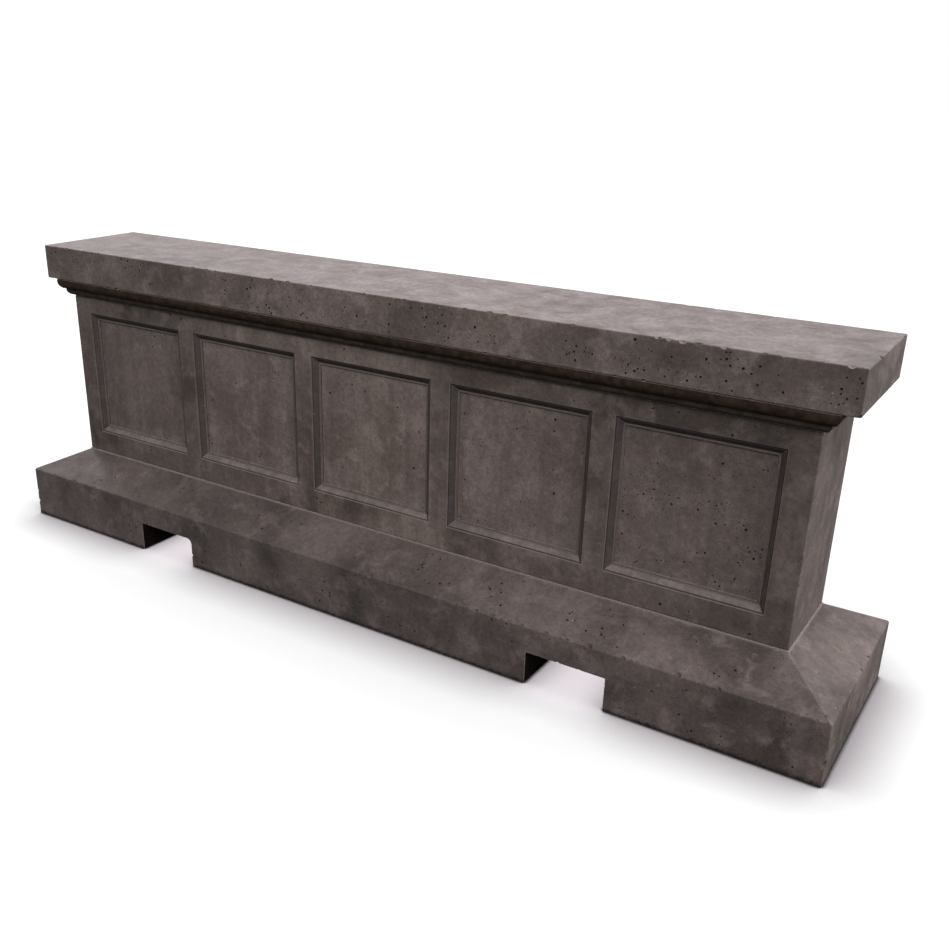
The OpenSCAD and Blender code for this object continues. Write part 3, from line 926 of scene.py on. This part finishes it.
# These chips are painted paler: rubbed, and a painted highlight.
rubbed = [along_x(coping_high.x - RUBBED, coping_high.x, y, coping_high.z,
                  (0, math.copysign(1, y), 1), 60, RUBBED_CHIP)
          for y in (coping_low.y, coping_high.y)]
take_away(coping, chip_cutter(rubbed, pale_ball))
knock = place_ball(chip_ball, Vector((coping_high.x, coping_low.y, coping_low.z)),
                   (9 * MM, 6 * MM, 7 * MM), any_turn())
take_away(coping, knock)
finish_piece(coping, "coping_concrete", "coping")

# %% [markdown]
# ## Mortar beds
# Each joint is a thin bed of sand mortar.  The one under the wall stands a little
# proud and shows as a pale line.

# %% Model the mortar beds
for node in ("foot_bed", "mould_bed", "coping_bed"):
    low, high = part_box(node)
    bed = block(node + "_mortar", low, high)
    bed.data.materials.append(mortar_finish)
    bevel_edges(bed, lambda a, b: True, 0.7 * MM, 2)
    finish_piece(bed, "bed_mortar", node)

for ball in (pit_ball, chip_ball, pale_ball):
    bpy.data.objects.remove(ball)

# %% [markdown]
# ## Floor, light and camera
# A white floor and a white surround.  Five lights fall on the barrier alone: two
# from behind and above, one in front and one at each end.  Two wash the floor alone,
# so that the dark concrete keeps its own tone on a white ground, and a lamp in each
# pocket keeps the floor there pale.  The floor's own finish holds a painted shadow:
# soft round the barrier, and a sharp dark line along its foot.

# %% Floor
CONTACT_REACH = 160 * MM                        # how far the barrier's foot shades the floor
CONTACT_LINE_REACH = 14 * MM                            # how far the painted dark line along the foot reaches

deselect()
bpy.ops.mesh.primitive_plane_add(size=60, location=(0, 0, 0))
floor = bpy.context.object
floor.name = "floor"
floor_material, floor_tree, floor_shader, _ = new_material("white_floor")
floor_ray = add(floor_tree, "ShaderNodeLightPath").outputs["Is Camera Ray"]
floor_tone = add(floor_tree, "ShaderNodeMix", {
    0: floor_ray, 6: srgb("#5a5a5a"), 7: srgb("#f4f4f4")}, data_type="RGBA")
near = add(floor_tree, "ShaderNodeAmbientOcclusion", {"Distance": CONTACT_REACH},
           samples=8)
contact = add(floor_tree, "ShaderNodeMapRange", {
    "Value": near.outputs["AO"], "From Min": 0.5})
shade = add(floor_tree, "ShaderNodeMix", {
    0: contact.outputs[0], 6: srgb("#c0b9be"), 7: srgb("#ffffff")}, data_type="RGBA")
# A sharp painted shadow along the barrier's foot.
touching = add(floor_tree, "ShaderNodeAmbientOcclusion", {"Distance": CONTACT_LINE_REACH},
               samples=8)
contact_line_shade = add(floor_tree, "ShaderNodeMapRange", {
    "Value": touching.outputs["AO"], "From Min": 0.55, "From Max": 0.85, "To Min": 0.12})
floor_tone = add(floor_tree, "ShaderNodeMix", {
    0: 1.0, 6: floor_tone.outputs[2], 7: shade.outputs[2]},
    data_type="RGBA", blend_type="MULTIPLY")
floor_tone = add(floor_tree, "ShaderNodeMix", {
    0: 1.0, 6: floor_tone.outputs[2], 7: contact_line_shade.outputs[0]},
    data_type="RGBA", blend_type="MULTIPLY")
floor_tree.links.new(floor_tone.outputs[2], floor_shader.inputs["Base Color"])
floor_shader.inputs["Roughness"].default_value = 0.9
floor_shader.inputs["Specular IOR Level"].default_value = 0.0
floor.data.materials.append(floor_material)
floor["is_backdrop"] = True

# %% Lights
def soft_sun(name, towards, softness, strength, receivers):
    """A broad even light: the way to it, how wide it looks in degrees, its strength."""
    light = bpy.data.lights.new(name, "SUN")
    light.angle = math.radians(softness)
    light.energy = strength
    lamp = bpy.data.objects.new(name, light)
    lamp.rotation_mode = "QUATERNION"
    lamp.rotation_quaternion = Vector(towards).to_track_quat("Z", "Y")
    lamp.light_linking.receiver_collection = receivers
    bpy.context.scene.collection.objects.link(lamp)


floor_only = bpy.data.collections.new("floor_only")
floor_only.objects.link(floor)
barrier_only = bpy.data.collections.new("barrier_only")
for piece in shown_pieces():
    barrier_only.objects.link(piece)

soft_sun("rear_left", (-0.62, 0.32, 0.72), 14, 1.8, barrier_only)
soft_sun("rear_right", (0.50, 0.58, 0.64), 70, 2.45, barrier_only)
soft_sun("front_key", (0.0, -0.71, 0.70), 35, 2.35, barrier_only)
soft_sun("right_side", (0.93, -0.1, 0.35), 60, 3.9, barrier_only)
soft_sun("left_side", (-0.93, -0.1, 0.35), 60, 0.9, barrier_only)
soft_sun("floor_wash", (0, 0, 1), 100, 3.6, floor_only)
soft_sun("floor_front", (0, -0.9, 0.4), 60, 1.2, floor_only)

GLOW_MARGIN = 30 * MM
GLOW_DROP = 10 * MM
for side in (-1, 1):
    glow = bpy.data.lights.new("pocket_glow", "AREA")
    glow.shape = "RECTANGLE"
    glow.size = POCKET_W - GLOW_MARGIN
    glow.size_y = 2 * plinth_high.y
    glow.energy = 0.6
    lamp = bpy.data.objects.new("pocket_glow", glow)
    lamp.location = (side * POCKET_X, 0, POCKET_H - GLOW_DROP)
    lamp.visible_camera = False
    lamp.light_linking.receiver_collection = floor_only
    bpy.context.scene.collection.objects.link(lamp)

world = bpy.data.worlds.new("white_surround")
bpy.context.scene.world = world
world.use_nodes = True
sky = world.node_tree
surround = sky.nodes["Background"]
surround.inputs["Color"].default_value = (1, 1, 1, 1)
ray = add(sky, "ShaderNodeLightPath").outputs["Is Camera Ray"]
level = add(sky, "ShaderNodeMapRange", {"Value": ray, "To Min": 0.04, "To Max": 1.0})
sky.links.new(level.outputs[0], surround.inputs["Strength"])
bpy.context.scene.view_settings.view_transform = "Standard"

# %% Camera
YAW, PITCH, ROLL = (math.radians(a) for a in (33.88, 22.10, 0.66))
camera_data = bpy.data.cameras.new("camera")
camera_data.sensor_width = 36
camera_data.lens = 39.93
camera_data.shift_x = 0.0621
camera_data.shift_y = 0.0205
camera = bpy.data.objects.new("camera", camera_data)
camera.location = (1.511, -2.166, 1.338)
ahead = Vector((-math.sin(YAW) * math.cos(PITCH), math.cos(YAW) * math.cos(PITCH),
                -math.sin(PITCH)))
camera.rotation_mode = "QUATERNION"
level_view = ahead.to_track_quat("-Z", "Y")
roll_turn = Vector((math.sin(-ROLL), math.cos(-ROLL), 0))
camera.rotation_quaternion = level_view @ Vector((0, 1, 0)).rotation_difference(roll_turn)
bpy.context.scene.collection.objects.link(camera)
bpy.context.scene.camera = camera

# %% Sizes, and the end
bpy.context.view_layer.update()
low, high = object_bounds()
print("visual box:", [round(v, 4) for v in (*low, *high)])
